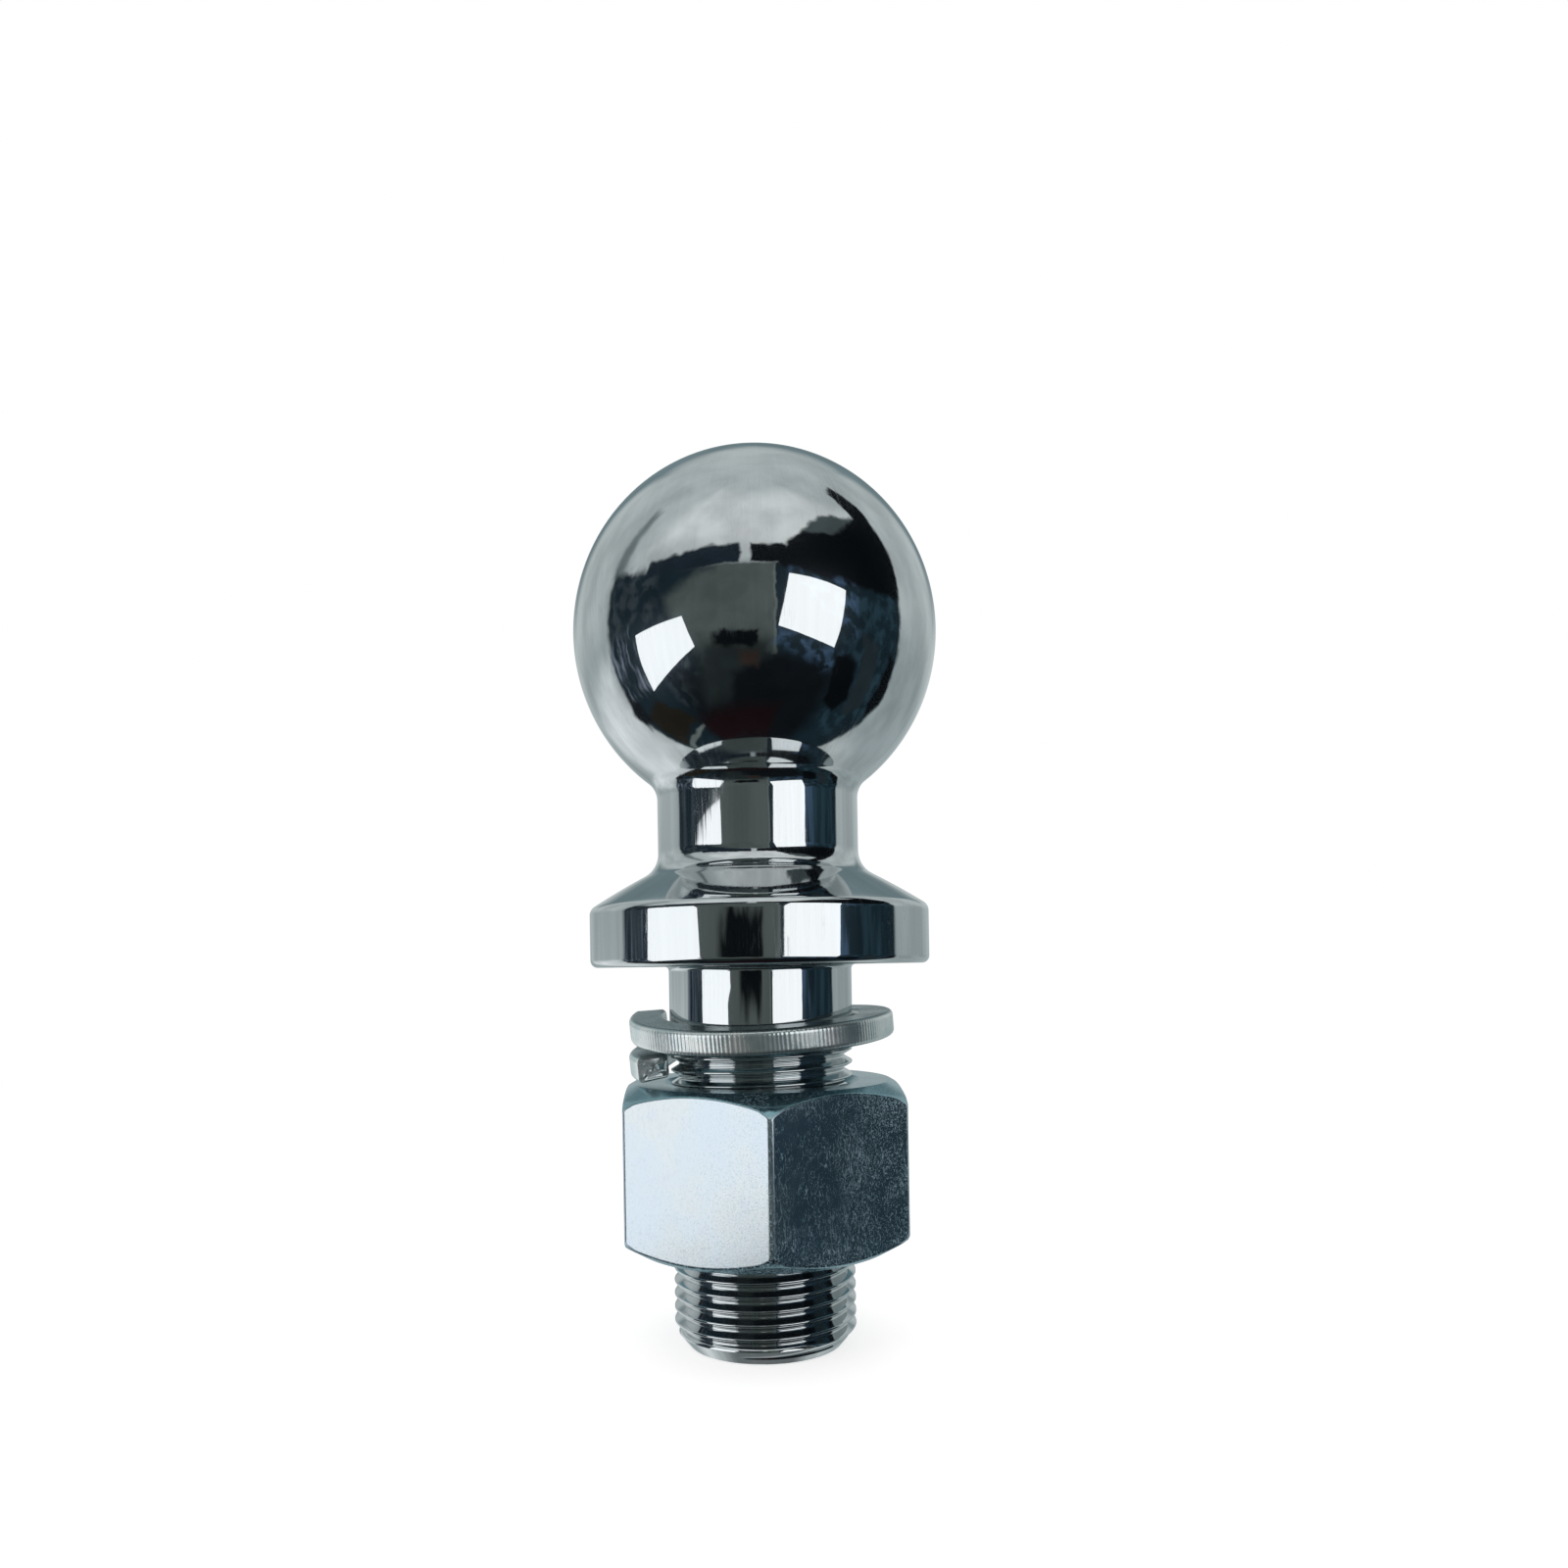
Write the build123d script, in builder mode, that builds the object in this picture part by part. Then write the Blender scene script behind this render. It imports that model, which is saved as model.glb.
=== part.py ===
from build123d import *
from math import asin, cos, degrees, radians, sqrt, tan
import os

os.makedirs("parts", exist_ok=True)

# Threaded tow ball, in millimetres, standing upright on the flat end of its shank.
# The origin is on the axis, in the plane of the flange's underside, which is the face
# that seats on the drawbar. +Z points up through the ball.

# Coupling ball and neck
ball_diameter = 50.0
neck_diameter = 27.8
neck_length = 11.34
neck_to_ball_fillet = 3.5
neck_to_cone_fillet = 3.8

# Flange, with a sloping top that is slightly crowned
flange_diameter = 46.8
flange_rim_height = 7.9
cone_slope = 30.0
cone_crown = 0.3
rim_top_radius = 1.4
rim_bottom_radius = 1.0

# Shank: plain under the flange, then threaded to its end
shank_diameter = 25.4
plain_length = 10.5
seat_fillet = 0.6
thread_undersize = 0.2
thread_runout = 0.2
shank_length = 52.0
end_chamfer = 1.9
end_chamfer_length = 2.3

# Hexagon nut
nut_across_flats = 37.4
nut_height = 22.5
nut_drop = 15.9
nut_turn = 2.5
nut_corner_radius = 0.9
nut_face_inset = 0.9
nut_chamfer_angle = 30.0
nut_shoulder_radius = 2.6
nut_bore_clearance = 0.08
nut_mouth_width = 0.9

# Split spring washer: a left-hand turn of flat wire whose sprung ends lie one over the other
washer_shank_clearance = 0.75
washer_wire_width = 4.75
washer_thickness = 3.4
washer_pitch = 4.8
washer_corner_radius = 0.7
washer_overlap_angle = 36.0
washer_lower_end_angle = 206.0
washer_side_tilt = 4.6
washer_back_tilt = 5.0
washer_seat_gap = 0.25
washer_side_shift = 0.4
washer_back_shift = 0.15

ball_radius = ball_diameter / 2
neck_radius = neck_diameter / 2
flange_radius = flange_diameter / 2
shank_radius = shank_diameter / 2
thread_radius = (shank_diameter - thread_undersize) / 2


# Ball stud: one forging, turned all over, so one profile revolved about its axis.
cone_meets_neck = flange_rim_height + (flange_radius - neck_radius) * tan(radians(cone_slope))
ball_meets_neck = cone_meets_neck + neck_length
ball_centre_height = ball_meets_neck + sqrt(ball_radius**2 - neck_radius**2)
ball_arc_size = 180 - degrees(asin(neck_radius / ball_radius))

neck_top = (neck_radius, ball_meets_neck)
neck_foot = (neck_radius, cone_meets_neck)
rim_top = (flange_radius, flange_rim_height)
rim_bottom = (flange_radius, 0)
seat_corner = (shank_radius, 0)
end_edge_radius = thread_radius - end_chamfer

with BuildPart() as ball_stud:
    with BuildSketch(Plane.XZ) as stud_profile:
        with BuildLine():
            ball_arc = CenterArc((0, ball_centre_height), ball_radius, 90, -ball_arc_size)
            Line(ball_arc @ 1, neck_foot)
            SagittaArc(neck_foot, rim_top, cone_crown)
            Polyline(
                rim_top,
                rim_bottom,
                seat_corner,
                (shank_radius, -plain_length),
                (thread_radius, -plain_length - thread_runout),
                (thread_radius, end_chamfer_length - shank_length),
                (end_edge_radius, -shank_length),
                (0, -shank_length),
                ball_arc @ 0,
            )
        make_face()
        for point, radius in (
            (neck_top, neck_to_ball_fillet),
            (neck_foot, neck_to_cone_fillet),
            (rim_top, rim_top_radius),
            (rim_bottom, rim_bottom_radius),
            (seat_corner, seat_fillet),
        ):
            corner = stud_profile.vertices().sort_by_distance(point)[0]
            fillet(corner, radius)
    revolve(axis=Axis.Z)
ball_stud.part.label = "ball_stud"


# Hexagon nut: a hexagon bar cut by a turned form that gives both ends their round shoulders.
nut_top = -nut_drop
nut_bottom = nut_top - nut_height
nut_bore_radius = thread_radius + nut_bore_clearance
nut_corner_distance = nut_across_flats / 2 / cos(radians(30))
nut_face_radius = nut_across_flats / 2 - nut_face_inset
chamfer_run = nut_corner_distance - nut_face_radius
chamfer_drop = chamfer_run * tan(radians(nut_chamfer_angle))
nut_facing = -90 + nut_turn

with BuildPart() as hex_nut:
    with BuildSketch(Plane.XY.offset(nut_bottom)) as hexagon:
        RegularPolygon(nut_across_flats / 2, 6, major_radius=False, rotation=nut_facing)
        fillet(hexagon.vertices(), nut_corner_radius)
    extrude(amount=nut_height)
    with BuildSketch(Plane.XZ) as turned_form:
        with BuildLine():
            Polyline(
                (0, nut_top),
                (nut_face_radius, nut_top),
                (nut_corner_distance, nut_top - chamfer_drop),
                (nut_corner_distance, nut_bottom + chamfer_drop),
                (nut_face_radius, nut_bottom),
                (0, nut_bottom),
                close=True,
            )
        make_face()
        shoulders = turned_form.vertices().group_by(Axis.X)[-1]
        fillet(shoulders, nut_shoulder_radius)
    revolve(axis=Axis.Z, mode=Mode.INTERSECT)
    Hole(nut_bore_radius)
    mouths = hex_nut.edges().filter_by(GeomType.CIRCLE).group_by(SortBy.RADIUS)[0]
    chamfer(mouths, nut_mouth_width)
hex_nut.part.label = "hex_nut"


# Spring washer: a rounded flat section swept along its coil, upright at first.
washer_inner_radius = shank_radius + washer_shank_clearance
washer_coil_radius = washer_inner_radius + washer_wire_width / 2
washer_rise = washer_pitch * (360 + washer_overlap_angle) / 360

with BuildPart() as spring_washer:
    with BuildLine() as coil:
        Helix(washer_pitch, washer_rise, washer_coil_radius, lefthand=True)
    with BuildSketch(Plane.XZ) as wire_section:
        with Locations((washer_coil_radius, 0)):
            RectangleRounded(washer_wire_width, washer_thickness, washer_corner_radius)
    sweep(path=coil.line, is_frenet=True)

# It hangs askew on the shank: its lower end rests on the nut and its far side is cocked up.
washer_lean = Rot(washer_back_tilt, 0, 0) * Rot(0, -washer_side_tilt, 0)
spring_washer.part.move(washer_lean * Rot(0, 0, washer_lower_end_angle))
washer_low_point = spring_washer.part.bounding_box().min.Z
washer_lift = nut_top + washer_seat_gap - washer_low_point
spring_washer.part.move(Pos(washer_side_shift, washer_back_shift, washer_lift))
spring_washer.part.label = "spring_washer"


export_step(ball_stud.part, "parts/ball_stud.step")
export_step(hex_nut.part, "parts/hex_nut.step")
export_step(spring_washer.part, "parts/spring_washer.step")
washer_top = spring_washer.part.bounding_box().max.Z
print("ball centre", round(ball_centre_height, 3))
print("washer top", round(washer_top, 3), "nut bottom", round(nut_bottom, 3))
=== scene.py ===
from math import acos, asin, atan2, cos, degrees, pi, radians, sin, sqrt, tan

import bmesh
import bpy
import numpy as np
from mathutils import Matrix, Vector


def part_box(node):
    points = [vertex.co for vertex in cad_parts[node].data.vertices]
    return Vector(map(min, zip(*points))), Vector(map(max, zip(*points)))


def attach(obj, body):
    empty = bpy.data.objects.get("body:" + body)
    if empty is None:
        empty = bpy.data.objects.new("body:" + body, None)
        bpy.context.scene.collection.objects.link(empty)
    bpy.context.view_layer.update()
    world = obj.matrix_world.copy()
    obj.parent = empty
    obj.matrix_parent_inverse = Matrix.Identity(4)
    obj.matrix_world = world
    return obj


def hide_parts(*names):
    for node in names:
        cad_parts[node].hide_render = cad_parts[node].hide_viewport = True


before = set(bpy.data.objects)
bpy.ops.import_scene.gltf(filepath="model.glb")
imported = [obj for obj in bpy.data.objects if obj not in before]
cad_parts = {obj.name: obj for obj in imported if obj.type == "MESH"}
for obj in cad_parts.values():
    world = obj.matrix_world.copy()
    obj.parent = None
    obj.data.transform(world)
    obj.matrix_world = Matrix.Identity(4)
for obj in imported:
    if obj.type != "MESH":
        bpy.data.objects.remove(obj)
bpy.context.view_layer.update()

MM = 0.001

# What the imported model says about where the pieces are
stud_low, stud_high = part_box("ball_stud")
nut_low, nut_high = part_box("hex_nut")
washer_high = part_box("spring_washer")[1]

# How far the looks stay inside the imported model's box
BALL_INSET = 0.004 * MM
WASHER_INSET = 0.002 * MM

# Stud, from the ball down
NOMINAL_BALL_RADIUS = 25.0 * MM
BALL_RADIUS = min(stud_high.x, stud_high.y, -stud_low.x, -stud_low.y) - BALL_INSET
BALL_CENTRE = stud_high.z - NOMINAL_BALL_RADIUS
NECK_RADIUS = 13.9 * MM
BALL_FILLET = 3.5 * MM
CONE_FILLET = 3.8 * MM
CONE_SLOPE = radians(30)
CONE_CROWN = 0.14 * MM
FLANGE_RADIUS = 23.4 * MM
RIM_HEIGHT = 7.9 * MM
RIM_TOP_RADIUS = 1.4 * MM
RIM_BOTTOM_RADIUS = 1.0 * MM
SHANK_RADIUS = 12.7 * MM
SEAT_FILLET = 0.6 * MM
PLAIN_LENGTH = 10.5 * MM
PLAIN_END_ROUND = 0.08 * MM
THREAD_RADIUS = 12.6 * MM
THREAD_STEP = 0.2 * MM
FOOT = stud_low.z
FOOT_RING_RADIUS = 6 * MM
END_CHAMFER = 1.9 * MM
END_CHAMFER_LENGTH = 2.3 * MM

# Thread: 14 turns to the inch, right hand, with flanks at 60 degrees to each other and a round root.
# The first valley is the height of one of its valleys on the +X side.
PITCH = 25.4 * MM / 14
FLANK_ANGLE = radians(30)
CREST_SHARE = 1 / 8
ROOT_ROUND = sqrt(3) / 12 * PITCH
FIRST_VALLEY = -45.12 * MM
RUNOUT = 0.4 * PITCH
SPARE_TURNS = 2

# Nut
NUT_TOP = nut_high.z
NUT_BOTTOM = nut_low.z
NUT_FLAT_DISTANCE = 18.7 * MM
NUT_CORNER_DISTANCE = NUT_FLAT_DISTANCE / cos(radians(30))
NUT_FACE_RADIUS = 17.8 * MM
NUT_SLOPE = radians(30)
NUT_SHOULDER_RADIUS = 2.6 * MM
NUT_CORNER_RADIUS = 0.9 * MM
NUT_TURN = 2.5
NUT_FIRST_CORNER = -90 + NUT_TURN
NUT_EDGE_RADIUS = 0.45 * MM
NUT_MOUTH_RADIUS = 13.58 * MM
NUT_THREAD_CLEARANCE = 0.1 * MM

# Spring washer: its coil and how it hangs, with turns and angles in degrees
COIL_RADIUS = 15.825 * MM
WIRE_WIDTH = 4.75 * MM
WIRE_THICKNESS = 3.4 * MM
WIRE_CORNER = 0.7 * MM
WASHER_PITCH = 4.8 * MM
WASHER_SWEEP = 396
WASHER_END_ANGLE = 206
WASHER_SIDE_TILT = 4.6
WASHER_BACK_TILT = 5.0

# The washer's lower end stands out and up, and both ends are sheared off
FLARE = 0.75 * MM
FLARE_SWEEP = 42
LIFT_SHARE = 0.6
CUT_SLANT = radians(13)
CUT_SLANT_SWEEP = 12
CUT_ROUGH = 0.10 * MM
UPPER_CUT_ROUGH = 0.02 * MM
BURR = 0.9 * MM

# Draw marks across the washer's outer face. Their depth changes once in so many stations.
MARK_SEED = 5
MARK_PITCH = 0.50 * MM
MARK_DEPTH = 0.028 * MM
MARK_PATCH = 40

# How finely the meshes are cut. A straight stretch that is long enough gets support points near its ends.
STUD_COLUMNS = 200
NUT_FACE_COLUMNS = 16
WASHER_STATIONS = 1500
SUPPORT = 0.12 * MM
STRAIGHT = 1.3 * MM
WELD = 0.0005 * MM

# The photograph's view: what it measures in its own pixels, and how far away the lens is
PHOTO_SIZE = 1600
FOCAL_PIXELS = 1170
AXIS_COLUMN = 775.5
HORIZON_ROW = 985
CAMERA_DISTANCE = 160 * MM
CAMERA_ROLL = radians(-0.95)
SENSOR = 36


# Shader nodes

def colour(red, green, blue):
    return (red, green, blue, 1.0)


class Nodes:
    """Short words for wiring one node tree."""

    def __init__(self, tree):
        self.tree = tree
        tree.nodes.clear()

    def feed(self, socket, value):
        if isinstance(value, bpy.types.NodeSocket):
            self.tree.links.new(value, socket)
        else:
            socket.default_value = value

    def add(self, kind, inputs=None, **settings):
        node = self.tree.nodes.new("ShaderNode" + kind)
        for name, value in settings.items():
            setattr(node, name, value)
        for name, value in (inputs or {}).items():
            self.feed(node.inputs[name], value)
        return node

    def finish(self, shader, kind="OutputMaterial"):
        self.add(kind, {"Surface": shader})

    def coordinates(self, kind="Object"):
        return self.add("TexCoord").outputs[kind]

    def axes(self, vector):
        return self.add("SeparateXYZ", {"Vector": vector}).outputs

    def math(self, operation, *values):
        node = self.add("Math", operation=operation)
        for socket, value in zip(node.inputs, values):
            self.feed(socket, value)
        return node.outputs[0]

    def ramp(self, value, start, end, low=0.0, high=1.0):
        """Goes smoothly from low to high while the value goes from start to end."""
        ends = {"Value": value, "From Min": start, "From Max": end, "To Min": low, "To Max": high}
        return self.add("MapRange", ends, interpolation_type="SMOOTHSTEP").outputs[0]

    def band(self, value, rise_start, rise_end, fall_start, fall_end):
        """Rises to 1 over the first two values and falls back to 0 over the last two."""
        rise = self.ramp(value, rise_start, rise_end)
        return self.math("MULTIPLY", rise, self.ramp(value, fall_start, fall_end, 1.0, 0.0))

    def spread(self, value, reach):
        """From a value between 0 and 1 to one between -reach and reach."""
        return self.math("MULTIPLY_ADD", value, 2 * reach, -reach)

    def noise(self, place, scale, detail, stretch=(1, 1, 1), turn=(0, 0, 0)):
        """Noise from 0 to 1. A small number in stretch draws it out along that axis."""
        if stretch != (1, 1, 1) or turn != (0, 0, 0):
            place = self.add("Mapping", {"Vector": place, "Rotation": turn, "Scale": stretch}).outputs[0]
        return self.add("TexNoise", {"Vector": place, "Scale": scale, "Detail": detail}).outputs["Fac"]

    def lines(self, value, width):
        """Thin lines where a noise value passes its middle."""
        away = self.math("ABSOLUTE", self.math("SUBTRACT", value, 0.5))
        return self.ramp(away, 0.0, width, 1.0, 0.0)

    def mix(self, share, first, second, how="MIX"):
        """Colour mix, where share is how much the second colour counts."""
        node = self.add("Mix", data_type="RGBA", blend_type=how)
        self.feed(node.inputs[0], share)
        self.feed(node.inputs[6], first)
        self.feed(node.inputs[7], second)
        return node.outputs[2]

    def mix_shaders(self, share, first, second):
        return self.add("MixShader", {"Fac": share, 1: first, 2: second}).outputs[0]

    def emission(self, tint, strength=1.0):
        return self.add("Emission", {"Color": tint, "Strength": strength}).outputs[0]

    def background(self, tint, strength=1.0):
        return self.add("Background", {"Color": tint, "Strength": strength}).outputs[0]

    def bump(self, height, depth):
        return self.add("Bump", {"Height": height, "Distance": depth, "Strength": 1.0}).outputs[0]

    def metal(self, tint, roughness, normal=None):
        inputs = {"Base Color": tint, "Metallic": 1.0, "Roughness": roughness}
        if normal is not None:
            inputs["Normal"] = normal
        return self.add("BsdfPrincipled", inputs).outputs[0]

    def level(self, start, end):
        """1 where the surface faces up or down, and 0 where it faces sideways."""
        upward = self.axes(self.coordinates("Normal"))["Z"]
        return self.ramp(self.math("ABSOLUTE", upward), start, end)


def new_material(name):
    material = bpy.data.materials.new(name)
    material.use_nodes = True
    return material, Nodes(material.node_tree)


# Studio

WHITE = colour(1, 1, 1)
PALE = colour(0.56, 0.61, 0.615)
PALE_SIDE = colour(0.39, 0.45, 0.46)
PALE_TOP = colour(0.82, 0.85, 0.85)
PALE_LOW = colour(0.92, 0.96, 0.98)
AMBIENT = colour(0.55, 0.55, 0.55)
BLACK = colour(0.003, 0.004, 0.005)
NAVY = colour(0.010, 0.022, 0.030)
TEAL = colour(0.024, 0.052, 0.072)
HAZE = colour(0.045, 0.060, 0.070)
PANEL = colour(0.100, 0.120, 0.114)
LINE = colour(0.16, 0.19, 0.18)
GREY = colour(0.075, 0.095, 0.098)
MURK = colour(0.022, 0.034, 0.040)
DUSK = colour(0.020, 0.027, 0.027)
BAND = colour(0.012, 0.021, 0.031)
DIM = colour(0.19, 0.26, 0.28)
STAIN = colour(0.22, 0.26, 0.27)
UNDER = colour(0.20, 0.22, 0.225)
SOOT = colour(0.006, 0.008, 0.010)
GLOW = colour(0.085, 0.115, 0.130)
BROWN = colour(0.018, 0.015, 0.010)
RED_DARK = colour(0.012, 0.0055, 0.0065)
BLUE = colour(0.055, 0.100, 0.170)
STREAK = colour(0.24, 0.28, 0.35)
SPECK = colour(0.036, 0.024, 0.020)

# What stands round the object: a colour, the half width of its soft edge in degrees, what breaks it up,
# and the corners of a card as azimuth and elevation. Later cards lie over earlier ones.
STUDIO_ALL_ROUND = (
    (PALE_SIDE, 9, None, ((-175, 6), (175, 6), (175, -42), (-175, -42))),
    (PALE_TOP, 9, None, ((-72, 40), (-55, 74), (55, 74), (84, 52), (40, 36))),
    (PALE_LOW, 10, None, ((-149, -50), (-106, -50), (-106, -5), (-149, -5))),
    (DIM, 7, None, ((151, 18), (194, 18), (194, 47), (151, 50))),
    (DIM, 7, None, ((-151, 18), (-194, 18), (-194, 47), (-151, 50))),
    (UNDER, 8, None, ((-200, -100), (200, -100), (200, -62), (-200, -62))),
)
STUDIO_AHEAD = (
    (STAIN, 3, None, ((-98, 54), (-90, 54), (-91, 26), (-100, 26))),
    (NAVY, 1.8, None, ((-98, 27), (-104, -25), (-98, -90), (97, -90), (104, -25), (97, 29))),
    (TEAL, 5, "clouds", ((55, 20), (96, 20), (100, -30), (90, -60), (60, -50))),
    (HAZE, 6, "clouds", ((-97, 27), (-99, 0), (-56, 0), (-62, 27))),
    (GLOW, 7, "clouds", ((-64, -24), (-30, -16), (-16, -26), (-22, -46), (-60, -46))),
    (PANEL, 5, None, ((-54, 12), (-33, 25), (-5, 28), (-5, -22), (-36, -20), (-49, -8))),
    (PANEL, 1.0, None, ((-22, 26.5), (13.2, 28.5), (13.6, -24), (-22, -24))),
    (LINE, 0.7, None, ((11.8, 27), (13.0, 27), (13.4, -24), (12.2, -24))),
    (SOOT, 15, None, ((-60, -90), (60, -90), (60, -27), (-60, -27))),
    (DUSK, 8, None, ((-44, -50), (16, -50), (10, -15), (-34, -13))),
    (SOOT, 4, None, ((16, -24), (50, -27), (60, -90), (-30, -90), (-16, -34))),
    (BAND, 1.2, None, ((-72, 24), (-69, 32), (-28, 39.5), (-8.5, 40.5), (-8.5, 29), (-40, 26))),
    (BLACK, 1.0, None, ((-2, 29), (-2, 40.5), (22, 39.5), (26, 28))),
    (BLACK, 1.4, None, ((14, 27), (24, 42), (38, 48), (92, 51), (106, 48), (103, 31), (98, 16), (60, 18))),
    (GREY, 1.2, None, ((37, 47), (48, 53), (64, 55.5), (78, 53), (88, 50), (60, 45))),
    (BLACK, 1.2, None, ((91, 48), (94, 58), (98, 62.5), (113, 63), (107, 46))),
    (BLUE, 2.5, "clouds", ((20, 18), (22, 26), (64, 19), (66, -8), (50, 0))),
    (BLUE, 5, "clouds", ((15, -9), (13, -17), (50, -28), (60, -24), (58, -16))),
    (BLACK, 2.0, None, ((53, -19), (60, -16), (70, -18), (77, -36), (72, -45), (60, -44))),
    (MURK, 2.0, None, ((70, -4), (83, -6), (91, -34), (87, -41), (79, -41))),
    (BLACK, 1.5, None, ((94, -6), (99, -8), (105, -24), (101, -34), (95, -30))),
    (BROWN, 1.6, None, ((-99, -34), (-82, -33), (-68, -46), (-64, -53), (-98, -56))),
    (LINE, 0.8, None, ((-98, -57), (-62, -57), (-62, -59), (-98, -60))),
    (SOOT, 2.0, None, ((-108, -27), (-101, -18), (-96, -24), (-97, -35), (-106, -36))),
    (STREAK, 3.0, "streaks", ((-106, 0), (-80, 4), (-79, -27), (-100, -23))),
    (RED_DARK, 6.0, None, ((-62, -54), (22, -54), (22, -76), (-62, -76))),
    (SPECK, 3.0, None, ((-10, -22), (2, -22), (2, -31), (-9, -30))),
)

# How far round the cards ahead reach to each side, and how far the cards' edges waver, in degrees
AHEAD = 119
WAVER = 2.5

# The left softbox is two cards, far and near, on the corners where the ball mirrors it. The top of the
# near one is ragged: it slopes down to the left, and its streaks reach this far up and down.
LEFT_SOFTBOX = ((-77, -1), (-43.5, 1.5), (-38, -16), (-79, -28.5))
FAR_CARD_DISTANCE = 600 * MM
NEAR_CARD_DISTANCE = 160 * MM
RAGGED_HEIGHT = 47 * MM
RAGGED_SLOPE = 0.45
RAGGED_REACH = 22 * MM
RAGGED_FADE = (-8 * MM, 5 * MM)
SOFTBOX_RADIANCE = 1.5
SOFTBOX_TINT = colour(0.985, 1, 1.02)

# The black card: its edges across and upwards, each as where it fades in and where it fades out
BLACK_CARD_DEPTH = -165 * MM
BLACK_CARD_ACROSS = (-84 * MM, -62 * MM, 0, 6 * MM)
BLACK_CARD_UP = (-18 * MM, -6 * MM, 9 * MM, 17 * MM)
BLACK_CARD_WAVER = 13 * MM
BLACK_CARD_LEFT, BLACK_CARD_RIGHT = -92 * MM, 8 * MM
BLACK_CARD_LOW, BLACK_CARD_HIGH = -26 * MM, 20 * MM

# Floor: it goes over into white between its clear and its gone distance from the axis
FLOOR_RADIUS = 1.5
FLOOR_SIDES = 64
FLOOR_CLEAR = 0.05
FLOOR_GONE = 0.55
FLOOR_TINT = colour(0.85, 0.83, 0.83)
FLOOR_LIFT = 0.64

MIRROR_ROUNDS = 20


def aim(azimuth, elevation):
    """Direction from the object, in degrees: azimuth 0 is towards the camera and 90 is to its right."""
    a, e = radians(azimuth), radians(elevation)
    return Vector((sin(a) * cos(e), -cos(a) * cos(e), sin(e)))


def add_camera():
    data = bpy.data.cameras.new("camera")
    data.sensor_width = SENSOR
    data.lens = FOCAL_PIXELS * SENSOR / PHOTO_SIZE
    data.shift_x = (PHOTO_SIZE / 2 - AXIS_COLUMN) / PHOTO_SIZE
    data.shift_y = (HORIZON_ROW - PHOTO_SIZE / 2) / PHOTO_SIZE
    data.clip_start = 5 * MM
    camera = bpy.data.objects.new("camera", data)
    level = Matrix.Rotation(pi / 2, 4, "X") @ Matrix.Rotation(CAMERA_ROLL, 4, "Z")
    camera.matrix_world = Matrix.Translation((0, -CAMERA_DISTANCE, 0)) @ level
    bpy.context.scene.collection.objects.link(camera)
    bpy.context.scene.camera = camera


def add_softbox(name, azimuth, elevation, distance, turn, tilt, roll, width, height, radiance):
    """A lamp that the ball sees at that azimuth and elevation. It faces the ball but for turn and tilt."""
    data = bpy.data.lights.new(name, "AREA")
    data.shape = "RECTANGLE"
    data.size = width
    data.size_y = height
    data.energy = radiance * pi * width * height
    facing = -aim(azimuth + turn, elevation + tilt)
    right = facing.cross((0, 0, 1)).normalized()
    up = right.cross(facing)
    axes = Matrix((right, up, -facing)).transposed() @ Matrix.Rotation(radians(roll), 3, "Z")
    lamp = bpy.data.objects.new(name, data)
    place = Vector((0, 0, BALL_CENTRE)) + aim(azimuth, elevation) * distance
    lamp.matrix_world = Matrix.Translation(place) @ axes.to_4x4()
    lamp.visible_camera = False
    bpy.context.scene.collection.objects.link(lamp)


def mirrored(azimuth, elevation, distance):
    """Place at that distance where a ray from the camera goes after the ball has mirrored it that way."""
    lens, centre = Vector((0, -CAMERA_DISTANCE, 0)), Vector((0, 0, BALL_CENTRE))
    outgoing = aim(azimuth, elevation)
    normal = (outgoing + (lens - centre).normalized()).normalized()
    for _ in range(MIRROR_ROUNDS):
        touched = centre + normal * BALL_RADIUS
        normal = (outgoing + (lens - touched).normalized()).normalized()
    return centre + normal * BALL_RADIUS + outgoing * distance


def add_plane(name, corners, hidden_from):
    """A flat part of the studio that casts no shadow and that the named kinds of ray don't see."""
    mesh = bpy.data.meshes.new(name)
    mesh.from_pydata(corners, [], [tuple(range(len(corners)))])
    material, nodes = new_material(name)
    mesh.materials.append(material)
    plane = bpy.data.objects.new(name, mesh)
    plane.visible_shadow = False
    for ray in hidden_from:
        setattr(plane, "visible_" + ray, False)
    bpy.context.scene.collection.objects.link(plane)
    return nodes


def add_light_card(name, corners, distance, ragged=None):
    """A lit card whose corners the ball mirrors at these azimuths and elevations.

    Above the height given as ragged, it breaks up into upright streaks, and sooner on its left."""
    places = [mirrored(*corner, distance) for corner in corners]
    nodes = add_plane(name, places, ["camera"])
    light = nodes.emission(SOFTBOX_TINT, SOFTBOX_RADIANCE)
    if ragged:
        place = nodes.coordinates()
        axes = nodes.axes(place)
        middle = sin(radians((corners[0][0] + corners[1][0]) / 2)) * distance
        height = nodes.math("MULTIPLY_ADD", axes["X"], -RAGGED_SLOPE, axes["Z"])
        height = nodes.math("ADD", height, RAGGED_SLOPE * middle)
        streaks = nodes.noise(place, 260, 4.0, stretch=(1, 1, 0.14))
        height = nodes.math("ADD", height, nodes.spread(streaks, RAGGED_REACH))
        cover = nodes.ramp(height, ragged + RAGGED_FADE[0], ragged + RAGGED_FADE[1], 1.0, 0.0)
        light = nodes.mix_shaders(cover, nodes.add("BsdfTransparent").outputs[0], light)
    nodes.finish(light)


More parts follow.
